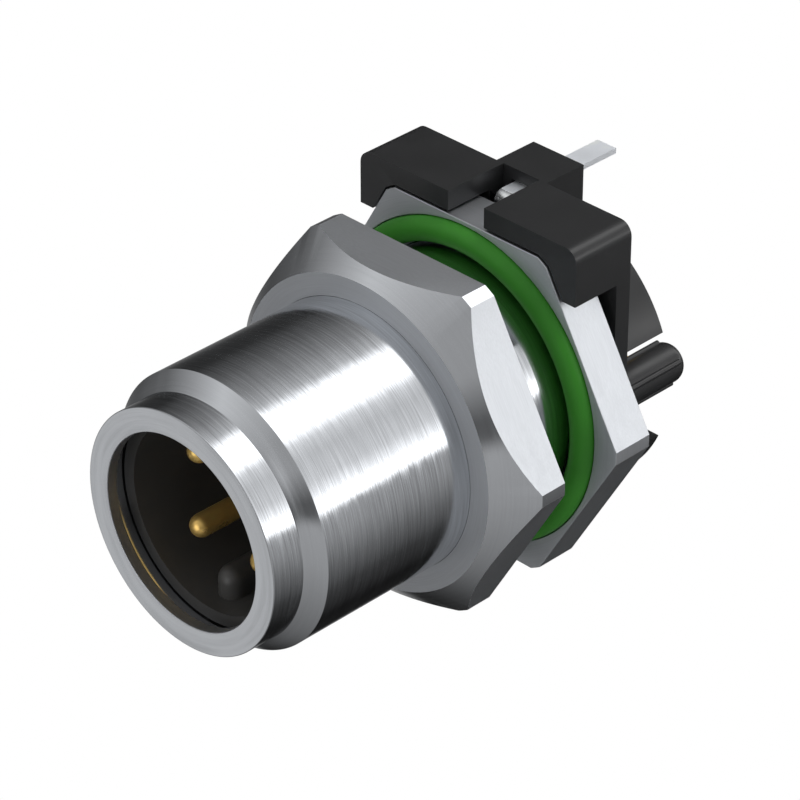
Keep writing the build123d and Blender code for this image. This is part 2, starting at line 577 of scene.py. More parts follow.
def turned_lines_group() -> Tree:
    """Build the fine lines that a turning tool or a brush leaves round the axis.

    Returns:
        A group with a tone, a band that changes slowly and a normal that wavers.
    """
    tree = new_group(
        "turned_lines",
        {"Lines per mm": 24.0, "Arcs round": 2.6, "Waver": 0.04},
        {"Tone": "NodeSocketFloat", "Band": "NodeSocketFloat", "Normal": "NodeSocketVector"},
    )
    band_round, band_along = 0.5, 0.16  # bands against the lines, round and along the axis
    band_share, rest_level, reach = 0.2, 0.6, 2.0
    elsewhere = (31.0, 17.0, 5.0)
    s = Shader(tree)
    given = s.add("NodeGroupInput").outputs
    parts = s.add("ShaderNodeSeparateXYZ")
    s.feed(parts, 0, s.add("ShaderNodeTexCoord").outputs["Object"])
    x, y, z = parts.outputs
    radius = s.math("SQRT", s.math("ADD", s.math("MULTIPLY", x, x), s.math("MULTIPLY", z, z)))
    across_x = s.math("DIVIDE", x, radius)
    across_z = s.math("DIVIDE", z, radius)
    density = s.math("DIVIDE", given["Lines per mm"], MM)
    outward = s.math("MULTIPLY", radius, density)
    spot = s.add("ShaderNodeCombineXYZ")
    s.feed(spot, 0, s.math("MULTIPLY", across_x, given["Arcs round"]))
    s.feed(spot, 1, s.math("MULTIPLY", y, density))
    s.feed(spot, 2, s.math("MULTIPLY", across_z, given["Arcs round"]))
    lines = s.noise(spot.outputs[0], outward)
    wide_spot = s.vector("MULTIPLY", spot.outputs[0], (band_round, band_along, band_round))
    bands = s.noise(wide_spot, s.math("MULTIPLY", outward, band_along))
    sway = s.noise(s.vector("ADD", spot.outputs[0], elsewhere), outward)
    both = s.math("ADD", sway, s.math("MULTIPLY", bands, band_share))
    swing = s.math("SUBTRACT", both, rest_level)
    amount = s.math("MULTIPLY", swing, s.math("MULTIPLY", given["Waver"], reach))
    tangent = s.add("ShaderNodeCombineXYZ")
    s.feed(tangent, 0, s.math("MULTIPLY", across_z, -1.0))
    s.feed(tangent, 2, across_x)
    turn = s.add("ShaderNodeVectorTransform", vector_type="VECTOR")
    turn.convert_from, turn.convert_to = "OBJECT", "WORLD"
    s.feed(turn, 0, tangent.outputs[0])
    push = s.vector("SCALE", turn.outputs[0], amount)
    level = s.add("ShaderNodeNewGeometry").outputs["Normal"]
    tilted = s.vector("NORMALIZE", s.vector("ADD", level, push))
    out = s.add("NodeGroupOutput")
    s.feed(out, "Tone", lines)
    s.feed(out, "Band", bands)
    s.feed(out, "Normal", tilted)
    return tree


def moulded_grain_group() -> Tree:
    """Build the fine, soft grain of a moulded or eroded surface.

    Returns:
        A group with a height, and a mottle that changes slowly.
    """
    tree = new_group(
        "moulded_grain",
        {"Grain per mm": 9.0},
        {"Height": "NodeSocketFloat", "Mottle": "NodeSocketFloat"},
    )
    mottle_share = 0.06  # the mottle's fineness against the grain's
    s = Shader(tree)
    given = s.add("NodeGroupInput")
    place = s.add("ShaderNodeTexCoord").outputs["Object"]
    density = s.math("DIVIDE", given.outputs["Grain per mm"], MM)
    spot = s.vector("SCALE", place, density)
    slow_spot = s.vector("SCALE", place, s.math("MULTIPLY", density, mottle_share))
    out = s.add("NodeGroupOutput")
    s.feed(out, "Height", s.noise(spot))
    s.feed(out, "Mottle", s.noise(slow_spot, detail=3.0))
    return tree


def new_material(name: str) -> tuple[Material, Shader, Node]:
    """Make a material with a Principled shader.

    Args:
        name: Name of the material.

    Returns:
        The material, the hand for its nodes, and the shader's node.
    """
    material = bpy.data.materials.new(name)
    material.use_nodes = True
    s = Shader(material.node_tree)
    shader = s.add("ShaderNodeBsdfPrincipled")
    out = s.add("ShaderNodeOutputMaterial")
    s.feed(out, "Surface", shader.outputs[0])
    return material, s, shader


def around(middle: float, half: float) -> Point:
    """Give the span that reaches as far below a value as above it."""
    return middle - half, middle + half


@dataclass(frozen=True)
class TurnedNickel:
    """Nickel plate over turned or milled metal."""

    roughness: float
    waver: float
    tone_swing: float
    colour: Colour = (0.64, 0.66, 0.69)
    roughness_swing: float = 0.06
    lines_per_mm: float = 24.0
    arcs_round: float = 2.6
    tone_span: Point = (0.25, 0.75)
    band_span: Point = (0.3, 0.7)

    def material(self, name: str, groups: Groups) -> Material:
        """Build the material.

        Args:
            name: Name of the material.
            groups: The shared node groups by name.

        Returns:
            The material.
        """
        material, s, shader = new_material(name)
        lines = s.group(
            groups["turned_lines"],
            Lines_per_mm=self.lines_per_mm,
            Arcs_round=self.arcs_round,
            Waver=self.waver,
        ).outputs
        tone = s.span(lines["Tone"], self.tone_span, around(1, self.tone_swing))
        rough = s.span(lines["Band"], self.band_span, around(self.roughness, self.roughness_swing))
        s.feed(shader, "Base Color", s.vector("SCALE", self.colour, tone))
        s.feed(shader, "Metallic", 1.0)
        s.feed(shader, "Roughness", rough)
        s.feed(shader, "Normal", lines["Normal"])
        return material


@dataclass(frozen=True)
class GrainedFinish:
    """What every finish with a fine grain shares."""

    colour: Colour
    roughness: float
    roughness_swing: float
    tone_swing: float
    grain_per_mm: float
    rough_by: Grain = Grain.MOTTLED
    metallic: float = 0.0
    specular: float = 0.5
    bump_strength: float = 0.0
    bump_depth: float = 0.0
    grain_span: Point = (0.3, 0.7)

    def material(self, name: str, groups: Groups) -> Material:
        """Build the material.

        Args:
            name: Name of the material.
            groups: The shared node groups by name.

        Returns:
            The material.
        """
        material, s, shader = new_material(name)
        grain = s.group(groups["moulded_grain"], Grain_per_mm=self.grain_per_mm).outputs
        tone = s.span(grain["Mottle"], self.grain_span, around(1, self.tone_swing))
        rough_by = grain[self.rough_by.value]
        rough = s.span(rough_by, self.grain_span, around(self.roughness, self.roughness_swing))
        s.feed(shader, "Base Color", s.vector("SCALE", self.colour, tone))
        s.feed(shader, "Metallic", self.metallic)
        s.feed(shader, "Roughness", rough)
        s.feed(shader, "Specular IOR Level", self.specular)
        if self.bump_strength:
            bump = s.add("ShaderNodeBump")
            s.feed(bump, "Strength", self.bump_strength)
            s.feed(bump, "Distance", self.bump_depth * MM)
            s.feed(bump, "Height", grain["Height"])
            s.feed(shader, "Normal", bump.outputs[0])
        return material


@dataclass(frozen=True)
class MouldedPlastic(GrainedFinish):
    """Black moulded plastic with a fine grain."""

    colour: Colour = (0.0262, 0.0268, 0.028)
    roughness: float = 0.32
    roughness_swing: float = 0.04
    tone_swing: float = 0.08
    grain_per_mm: float = 9.0
    bump_strength: float = 0.5
    bump_depth: float = 0.004


@dataclass(frozen=True)
class SealRubber(GrainedFinish):
    """Smooth moulded rubber with a faint bloom."""

    roughness: float = 0.45
    roughness_swing: float = 0.05
    tone_swing: float = 0.12
    grain_per_mm: float = 5.0
    specular: float = 0.25
    bump_strength: float = 0.3
    bump_depth: float = 0.002


@dataclass(frozen=True)
class ContactGilt(GrainedFinish):
    """Gold plate on a turned contact."""

    colour: Colour = (1.0, 0.66, 0.2)
    roughness: float = 0.3
    roughness_swing: float = 0.04
    tone_swing: float = 0.1
    grain_per_mm: float = 14.0
    metallic: float = 0.7


@dataclass(frozen=True)
class TinnedStrip(GrainedFinish):
    """Tin on stamped strip, matt where the strip is flat."""

    colour: Colour = (0.95, 0.97, 1.0)
    roughness: float = 0.8
    roughness_swing: float = 0.05
    tone_swing: float = 0.05
    grain_per_mm: float = 12.0
    rough_by: Grain = Grain.FINE
    metallic: float = 1.0


def make_finishes() -> dict[Finish, Material]:
    """Build the materials of the connector with the node groups that they share.

    Returns:
        The material of each finish.
    """
    groups = {"turned_lines": turned_lines_group(), "moulded_grain": moulded_grain_group()}
    milled = {"waver": 0.005, "tone_swing": 0.05, "roughness_swing": 0.02}
    looks = {
        Finish.BRUSHED: TurnedNickel(waver=0.036, tone_swing=0.26, roughness=0.15),
        Finish.SMOOTH: TurnedNickel(waver=0.006, tone_swing=0.03, roughness=0.14),
        Finish.MILLED: TurnedNickel(roughness=0.42, **milled),
        Finish.FACED: TurnedNickel(roughness=0.6, **milled),
        Finish.INSERT: MouldedPlastic(colour=(0.07, 0.0685, 0.066), roughness=0.4),
        Finish.CARRIER: MouldedPlastic(),
        Finish.PANEL_SEAL: SealRubber(colour=(0.055, 0.31, 0.03)),
        Finish.BORE_SEAL: SealRubber(colour=(0.02, 0.02, 0.02)),
        Finish.GILT: ContactGilt(),
        Finish.TIN: TinnedStrip(),
        Finish.BURNISHED: TinnedStrip(roughness=0.25),
    }
    return {finish: look.material(finish.value, groups) for finish, look in looks.items()}


def coat(piece: Piece, *materials: Material) -> None:
    """Give a piece its materials, the first of them all over."""
    piece.data.materials.clear()
    for material in materials:
        piece.data.materials.append(material)


class SubAssembly:
    """Pieces that belong together, with one finish unless they are dressed otherwise."""

    finish: Finish

    def build(self) -> list[Piece]:
        """Build the pieces and hand them to the frame."""
        raise NotImplementedError

    def dress(self, piece: Piece, finishes: dict[Finish, Material]) -> None:
        """Give a built piece the finish of the sub-assembly."""
        coat(piece, finishes[self.finish])


@dataclass
class Housing(SubAssembly):
    """Nose, barrel and hexagon flange, turned from one bar."""

    nose_radius: float = 5.3
    nose_length: float = 1.55
    ring_width: float = 0.2
    ring_depth: float = 0.15
    thread_radius: float = 6.0
    thread_chamfer: float = 0.5
    lip_radius: float = 4.25
    lip_length: float = 0.5
    bore_radius: float = 4.78
    groove_outer: float = 7.3
    groove_depth: float = 0.55
    corner_radius: float = 8.5
    edge: float = 0.03
    sideways: float = 0.3
    forwards: float = 0.9

    def build(self) -> list[Piece]:
        """Turn the housing and mill its flange to a hexagon.

        Returns:
            The finished piece.
        """
        rim, back = node_span("housing", Axis.Y)
        flats = 2 * node_span("housing", Axis.Z)[1]
        ring_y = rim + self.nose_length + self.ring_depth
        outline = [
            (self.lip_radius, rim),
            (self.nose_radius, rim),
            (self.nose_radius, rim + self.nose_length),
            (self.nose_radius + self.ring_width, ring_y),
            (self.thread_radius, ring_y + self.thread_chamfer),
            (self.thread_radius, self.groove_depth),
            (self.groove_outer, self.groove_depth),
            (self.groove_outer, 0),
            (self.corner_radius, 0),
            (self.corner_radius, back),
            (self.bore_radius, back),
            (self.bore_radius, rim + self.lip_length),
            (self.lip_radius, rim + self.lip_length),
        ]
        piece = turned("housing_turned", outline, ROUND, closed=True)
        hexagon = hexagon_bar("flange_hexagon", flats, (-self.edge, back + MARGIN))
        shaft = bar("barrel_keep", self.thread_radius + self.edge, (rim - MARGIN, 0), ROUND)
        combine(hexagon, shaft, Cut.JOIN)
        combine(piece, hexagon, Cut.KEEP_COMMON)
        soften(piece, self.edge, 3, angle=50)
        return [finished(piece, Body.CONNECTOR, "nickel_plated_metal", "housing")]

    def dress(self, piece: Piece, finishes: dict[Finish, Material]) -> None:
        """Brush the barrel, face the flange's front and give the rest a smooth finish.

        The flange's flats and the bore of the lip are milled. A face counts as the barrel's where
        its normal's Y is under `sideways`, and as the front where it is beyond `forwards`.

        Args:
            piece: The finished housing.
            finishes: The material of each finish.
        """
        kinds = (Finish.SMOOTH, Finish.BRUSHED, Finish.MILLED, Finish.FACED)
        coat(piece, *(finishes[kind] for kind in kinds))
        inner = (self.nose_radius - self.edge) * MM
        outer = (self.thread_radius + self.edge) * MM
        lip = (self.lip_radius + self.edge) * MM
        for face in piece.data.polygons:
            radius = math.hypot(face.center.x, face.center.z)
            on_flange = radius > outer and face.center.y > -self.edge * MM
            if inner < radius < outer and abs(face.normal.y) < self.sideways:
                face.material_index = kinds.index(Finish.BRUSHED)
            if radius < lip or on_flange:
                in_front = radius > outer and face.normal.y < -self.forwards
                face.material_index = kinds.index(Finish.FACED if in_front else Finish.MILLED)


@dataclass
class LockNut(SubAssembly):
    """Hexagon nut with one chamfered face."""

    bore_radius: float = 6.01
    blank_bore: float = 5.4
    face_radius: float = 7.0
    corner_radius: float = 8.5
    flats_beyond: float = 7.4
    flats_turn: float = 1.0
    level: float = 0.01
    endways: float = 0.99
    edge: float = 0.03

    def build(self) -> list[Piece]:
        """Turn the blank and mill it to a hexagon.

        Returns:
            The finished piece.
        """
        front, back = node_span("hex_nut", Axis.Y)
        flats = 2 * node_span("hex_nut", Axis.Z)[1]
        outline = [
            (self.blank_bore, front),
            (self.face_radius, front),
            (self.corner_radius, front + self.corner_radius - self.face_radius),
            (self.corner_radius, back),
            (self.blank_bore, back),
        ]
        piece = turned("lock_nut_milled", outline, ROUND, closed=True)
        reach = (front - MARGIN, back + MARGIN)
        combine(piece, hexagon_bar("nut_hexagon", flats, reach), Cut.KEEP_COMMON)
        soften(piece, self.edge, 3, angle=50)
        combine(piece, bar("nut_bore", self.bore_radius, reach, ROUND), Cut.REMOVE)
        return [finished(piece, Body.LOCK_NUT, "nickel_plated_nut", "hex_nut")]

    def dress(self, piece: Piece, finishes: dict[Finish, Material]) -> None:
        """Mill the six flats, face the two ends and give the rest a smooth finish.

        A face is a flat where its normal's Y is under `level`, it lies beyond `flats_beyond` from
        the axis and looks along a flat's direction within `flats_turn` degrees, and an end where
        its normal's Y is over `endways`.

        Args:
            piece: The finished nut.
            finishes: The material of each finish.
        """
        kinds = (Finish.SMOOTH, Finish.MILLED, Finish.FACED)
        coat(piece, *(finishes[kind] for kind in kinds))
        for face in piece.data.polygons:
            turn = math.degrees(math.atan2(face.normal.z, face.normal.x))
            off_flat = abs(turn % 60 - 30)
            outside = math.hypot(face.center.x, face.center.z) > self.flats_beyond * MM
            if abs(face.normal.y) < self.level and off_flat < self.flats_turn and outside:
                face.material_index = kinds.index(Finish.MILLED)
            if abs(face.normal.y) > self.endways:
                face.material_index = kinds.index(Finish.FACED)


@dataclass
class SealRing(SubAssembly):
    """Seal ring of round cord."""

    node: str
    name: str
    slot: str
    finish: Finish
    cord_sides: int = 48

    def build(self) -> list[Piece]:
        """Turn the ring where its node lies.

        Returns:
            The finished piece.
        """
        front, back = node_span(self.node, Axis.Y)
        outer = node_span(self.node, Axis.X)[1]
        cord_radius = (back - front) / 2
        centre = (outer - cord_radius, (front + back) / 2)
        section = arc(centre, cord_radius, 0, 360, self.cord_sides)[:-1]
        piece = turned(self.name, section, ROUND, closed=True)
        return [finished(piece, Body.CONNECTOR, self.slot, self.node)]


@dataclass
class Insert(SubAssembly):
    """Moulded insert with its coded socket, drilled at the contacts' places."""

    places: list[Point]
    finish: Finish = Finish.INSERT
    outer_radius: float = 4.7
    socket_radius: float = 4.14
    socket_depth: float = 7.7
    shoulder_radius: float = 5.2
    shoulder_length: float = 0.5
    neck_radius: float = 3.6
    groove_floor: float = 3.96
    groove_front: float = -2.15
    groove_back: float = -1.05
    key_width: float = 1.2
    key_height: float = 1.3
    key_setback: float = 0.8
    hole_radius: float = 0.52
    hole_sides: int = 48
    centre_hole: float = 0.3
    edge: float = 0.06
    segments: int = 192

    def build(self) -> list[Piece]:
        """Make the insert and its key.

        Returns:
            The two finished pieces.
        """
        front, neck_end = node_span("contact_insert", Axis.Y)
        floor = front + self.socket_depth
        return [self.moulding(front, floor, neck_end), self.key(front, floor)]

    def moulding(self, front: float, floor: float, neck_end: float) -> Piece:
        """Turn the insert and drill it for the contacts.

        Args:
            front: Y of its front.
            floor: Y of the socket's floor.
            neck_end: Y of its back.

        Returns:
            The finished piece.
        """
        flange_back = node_span("housing", Axis.Y)[1]
        shoulder_back = flange_back + self.shoulder_length
        outline = [
            (self.socket_radius, front),
            (self.outer_radius, front),
            (self.outer_radius, self.groove_front),
            (self.groove_floor, self.groove_front),
            (self.groove_floor, self.groove_back),
            (self.outer_radius, self.groove_back),
            (self.outer_radius, flange_back),
            (self.shoulder_radius, flange_back),
            (self.shoulder_radius, shoulder_back),
            (self.neck_radius, shoulder_back),
            (self.neck_radius, neck_end),
            (self.centre_hole, neck_end),
            (self.centre_hole, floor),
            (self.socket_radius, floor),
        ]
        piece = turned("insert_moulded", outline, self.segments, closed=True)
        drill(piece, self.places, self.hole_radius, (floor, neck_end), self.hole_sides)
        soften(piece, self.edge, 2)
        return finished(piece, Body.CONNECTOR, "black_insert", "contact_insert")

    def key(self, front: float, floor: float) -> Piece:
        """Shape the coding key, a rib with a round back and a round nose.

        Args:
            front: Y of the insert's front.
            floor: Y of the socket's floor, where the key ends.

        Returns:
            The finished piece.
        """
        half = self.key_width / 2
        crest = self.key_height - self.socket_radius - half
        root = -(self.outer_radius + self.socket_radius) / 2
        nose = front + self.key_setback + half
        piece = block("coding_key", (-half, nose, root), (half, floor, crest))
        back = bar("key_back", half, (nose, floor), BALL_SIDES, (0, crest))
        combine(piece, back, Cut.JOIN)
        deselect_everything()
        bpy.ops.mesh.primitive_cylinder_add(
            vertices=BALL_SIDES,
            radius=half,
            depth=crest - root,
            location=(0, nose, (root + crest) / 2),
        )
        combine(piece, added("key_post"), Cut.JOIN)
        combine(piece, ball("key_nose", half, (0, nose, crest)), Cut.JOIN)
        return finished(piece, Body.CONNECTOR, "black_insert")


@dataclass
class Contacts(SubAssembly):
    """Four gilt contacts with round noses, collars and board tails."""

    finish: Finish = Finish.GILT
    radius: float = 0.5
    tail_radius: float = 0.4
    tail_chamfer: float = 0.15
    collar_radius: float = 0.75
    collar_length: float = 0.8
    nodes: tuple[str, ...] = tuple(f"contact_pin_{number}" for number in range(1, 5))
    nose_start: float = -84.0
    nose_steps: int = 12
    segments: int = 64

    def places(self) -> list[Point]:
        """Give X and Z of each contact's centre line."""
        centres = []
        for node in self.nodes:
            x, z = node_span(node, Axis.X), node_span(node, Axis.Z)
            centres.append(((x[0] + x[1]) / 2, (z[0] + z[1]) / 2))
        return centres

    def build(self) -> list[Piece]:
        """Turn each contact and set it in its place.

        Returns:
            The finished pieces.
        """
        pieces = []
        collar_back = node_span("contact_insert", Axis.Y)[1]
        collar_front = collar_back - self.collar_length
        for node, (x, z) in zip(self.nodes, self.places()):
            tip, end = node_span(node, Axis.Y)
            nose_centre = (0, tip + self.radius)
            outline = [
                *arc(nose_centre, self.radius, self.nose_start, 0, self.nose_steps),
                (self.radius, collar_front),
                (self.collar_radius, collar_front),
                (self.collar_radius, collar_back),
                (self.tail_radius, collar_back),
                (self.tail_radius, end - self.tail_chamfer),
                (self.tail_radius - self.tail_chamfer, end),
            ]
            piece = turned(f"{node}_gilt", outline, self.segments, closed=False)
            move(piece, (x, 0, z))
            pieces.append(finished(piece, Body.CONNECTOR, "gilt_contact", node))
        return pieces


@dataclass
class Retainer(SubAssembly):
    """Disc behind the insert that the tails pass through."""

    places: list[Point]
    finish: Finish = Finish.INSERT
    radius: float = 3.6
    sides: int = 160
    hole_radius: float = 0.42
    hole_sides: int = 40
    edge: float = 0.06

    def build(self) -> list[Piece]:
        """Turn the disc and drill it.

        Returns:
            The finished piece.
        """
        span = (node_span("contact_insert", Axis.Y)[1], node_span("contact_retainer", Axis.Y)[1])
        piece = bar("retainer_disc", self.radius, span, self.sides)
        drill(piece, self.places, self.hole_radius, span, self.hole_sides)
        soften(piece, self.edge, 2)
        return [finished(piece, Body.CONNECTOR, "black_insert", "contact_retainer")]


@dataclass
class BoardCarrier(SubAssembly):
    """Clip, plate, stand-off wall, lug block and pegs, moulded in one."""

    finish: Finish = Finish.CARRIER
    half_width: float = 6.03
    clip_bottom: float = 6.0
    corner_round: float = 0.6
    round_steps: int = 8
    plate_front: float = 2.5
    plate_back: float = 3.3
    board: float = 5.5
    shroud_radius: float = 6.5
    shroud_wall: float = 1.2
    side_gap: float = 2.5
    seat_flats: float = 15.2
    seat_corner_radius: float = 8.6
    block_half: float = 1.4
    notch_half: float = 1.0
    notch_floor: float = 7.0
    window: tuple[float, float, float] = (0.58, 7.52, 7.98)
    window_front: float = 3.0
    neck_radius: float = 3.63
    peg_place: float = 5.0
    peg_radius: float = 0.89
    peg_tip: float = 0.55
    peg_end: float = 7.4
    peg_tip_end: float = 88.0
    peg_sides: int = 96
    ribs: int = 4
    rib_sides: int = 32
    rib_radius: float = 0.13
    rib_angle: float = 27.0
    edge: float = 0.07
    segments: int = 192

    def top(self) -> float:
        """Give the Z of the carrier's top."""
        return node_span("board_carrier", Axis.Z)[1]

    def wall_start(self) -> float:
        """Give the Y inside the plate where wall, block and pegs start."""
        return (self.plate_front + self.plate_back) / 2

    def upright(self, name: str, low_z: float, y: Point) -> Piece:
        """Make a full-width slab with its two long top edges rounded.

        Args:
            name: Name of the slab.
            low_z: Its lowest Z.
            y: Where it starts and ends along Y.

        Returns:
            The slab.
        """
        width, top = self.half_width, self.top()
        piece = block(name, (-width, y[0], low_z), (width, y[1], top))
        corners = [{Axis.X: side * width, Axis.Z: top} for side in (-1, 1)]
        bevel_at(piece, self.corner_round, self.round_steps, *corners)
        return piece

    def trimmed(self, piece: Piece) -> Piece:
        """Trim a round piece to the carrier's width."""
        width = self.half_width
        sides = block("carrier_sides", (-width, 0, -CLEAR), (width, CLEAR, CLEAR))
        return combine(piece, sides, Cut.KEEP_COMMON)

    def clip(self) -> Piece:
        """Make the two arms over the hexagon flange."""
        front = node_span("board_carrier", Axis.Y)[0]
        piece = self.upright("carrier_moulded", self.clip_bottom, (front, self.plate_back))
        seat = hexagon_bar("seat_hexagon", self.seat_flats, (front - MARGIN, self.plate_front))
        reach = (front - 2 * MARGIN, self.plate_front + MARGIN)
        turned_seat = bar("seat_turned", self.seat_corner_radius, reach, self.segments)
        combine(seat, turned_seat, Cut.KEEP_COMMON)
        return combine(piece, seat, Cut.REMOVE)

    def plate(self) -> Piece:
        """Make the plate behind the flange."""
        span = (self.plate_front, self.plate_back)
        disc = self.trimmed(bar("plate_disc", self.shroud_radius, span, self.segments))
        return combine(disc, self.upright("plate_upright", 0, span), Cut.JOIN)

    def shroud(self) -> Piece:
        """Make the stand-off wall, open at both sides."""
        start, end = self.wall_start(), self.board
        ring = bar("shroud_ring", self.shroud_radius, (start, end), self.segments)
        inner = self.shroud_radius - self.shroud_wall
        hollow = bar("shroud_hollow", inner, (start - MARGIN, end + MARGIN), self.segments)
        self.trimmed(combine(ring, hollow, Cut.REMOVE))
        gap = self.side_gap
        opening = block("peg_opening", (-CLEAR, 0, -gap), (CLEAR, CLEAR, gap))
        return combine(ring, opening, Cut.REMOVE)

    def peg(self, side: int) -> Piece:
        """Make one board peg with its crush ribs.

        Args:
            side: -1 or 1, for the side that it stands on.

        Returns:
            The peg.
        """
        start, rib_end = self.wall_start(), self.peg_end - self.peg_tip
        tip_centre = (self.peg_radius - self.peg_tip, rib_end)
        tip = arc(tip_centre, self.peg_tip, 0, self.peg_tip_end, self.round_steps)
        name = "peg_left" if side < 0 else "peg_right"
        piece = turned(name, [(self.peg_radius, start), *tip], self.peg_sides, closed=False)
        for i in range(self.ribs):
            angle = math.radians(self.rib_angle + 360 / self.ribs * i)
            place = (self.peg_radius * math.cos(angle), self.peg_radius * math.sin(angle))
            rib = bar("rib", self.rib_radius, (start, rib_end), self.rib_sides, place)
            combine(piece, rib, Cut.JOIN)
        return move(piece, (side * self.peg_place, 0, 0))

    def build(self) -> list[Piece]:
        """Put the carrier together.

        Returns:
            The finished piece.
        """
        top, start = self.top(), self.wall_start()
        piece = combine(self.clip(), self.plate(), Cut.JOIN)
        combine(piece, self.shroud(), Cut.JOIN)
        half, low_z = self.block_half, self.shroud_radius - self.shroud_wall
        combine(piece, block("lug_block", (-half, start, low_z), (half, self.board, top)), Cut.JOIN)
        half, back = self.notch_half, self.plate_back
        notch = block("notch", (-half, -MARGIN, self.notch_floor), (half, back, top + MARGIN))
        combine(piece, notch, Cut.REMOVE)
        half, low_z, high_z = self.window
        window = block("window", (-half, self.window_front, low_z), (half, CLEAR, high_z))
        combine(piece, window, Cut.REMOVE)
        reach = (self.plate_front - MARGIN, CLEAR)
        bore = bar("neck_bore", self.neck_radius, reach, self.segments)
        combine(piece, bore, Cut.REMOVE)
        for side in (-1, 1):
            combine(piece, self.peg(side), Cut.JOIN)
        soften(piece, self.edge, 3, angle=40)
        return [finished(piece, Body.CONNECTOR, "black_carrier", "board_carrier")]


@dataclass
class ShieldLug(SubAssembly):
    """Tinned strip, bent down behind the flange, with its contact dimple."""

    thickness: float = 0.24
    bend_radius: float = 0.45
    bend_steps: int = 10
    edgeways: float = 0.5
    bent: float = 0.1
    leg_front: float = 2.26
    bend_end: float = 3.0
    end_chamfer: float = 0.06
    dimple_z: float = 6.2
    dimple_radius: float = 0.33
    dimple_rim: float = 0.1
    edge: float = 0.02

    def build(self) -> list[Piece]:
        """Bend the strip and press its dimple.

        Returns:
            The finished piece.
        """
        half = node_span("shield_lug", Axis.X)[1]
        touch, end = node_span("shield_lug", Axis.Y)
        low, top = node_span("shield_lug", Axis.Z)
        front, inside, under = self.leg_front, self.leg_front + self.thickness, top - self.thickness
        piece = block("shield_lug_bent", (-half, front, low), (half, end, top))
        cut = block("lug_inside", (-CLEAR, inside, low - MARGIN), (CLEAR, end + MARGIN, under))
        combine(piece, cut, Cut.REMOVE)
        outer, inner = self.bend_radius, self.bend_radius - self.thickness
        bevel_at(piece, outer, self.bend_steps, {Axis.Y: front, Axis.Z: top})
        bevel_at(piece, inner, self.bend_steps, {Axis.Y: inside, Axis.Z: under})
        bevel_at(piece, self.end_chamfer, 1, {Axis.Y: end})
        combine(piece, self.dimple(touch), Cut.JOIN)
        soften(piece, self.edge, 2, angle=50)
        return [finished(piece, Body.CONNECTOR, "tinned_strip", "shield_lug")]

    def dress(self, piece: Piece, finishes: dict[Finish, Material]) -> None:
        """Give the strip its matt tin, burnished where it was bent.

        A face belongs to the bend where it lies before `bend_end`, its normal's X is under
        `edgeways` and its Y over `bent`.

        Args:
            piece: The finished lug.
            finishes: The material of each finish.
        """
        kinds = (Finish.TIN, Finish.BURNISHED)
        coat(piece, *(finishes[kind] for kind in kinds))
        for face in piece.data.polygons:
            x, y, _ = face.normal
            broad = abs(x) < self.edgeways and abs(y) > self.bent
            if broad and face.center.y < self.bend_end * MM:
                face.material_index = kinds.index(Finish.BURNISHED)

    def dimple(self, touch: float) -> Piece:
        """Make the round dimple that touches the flange.

        Args:
            touch: The Y that its crown reaches.

        Returns:
            The dimple.
        """
        depth = self.leg_front - touch
        crown = (depth**2 + self.dimple_radius**2) / (2 * depth)
        piece = ball("dimple", crown, (0, touch + crown, self.dimple_z))
        reach = self.dimple_radius + self.dimple_rim
        keep = block(
            "dimple_keep",
            (-reach, touch - MARGIN, self.dimple_z - reach),
            (reach, self.leg_front + self.thickness / 2, self.dimple_z + reach),
        )
        return combine(piece, keep, Cut.KEEP_COMMON)


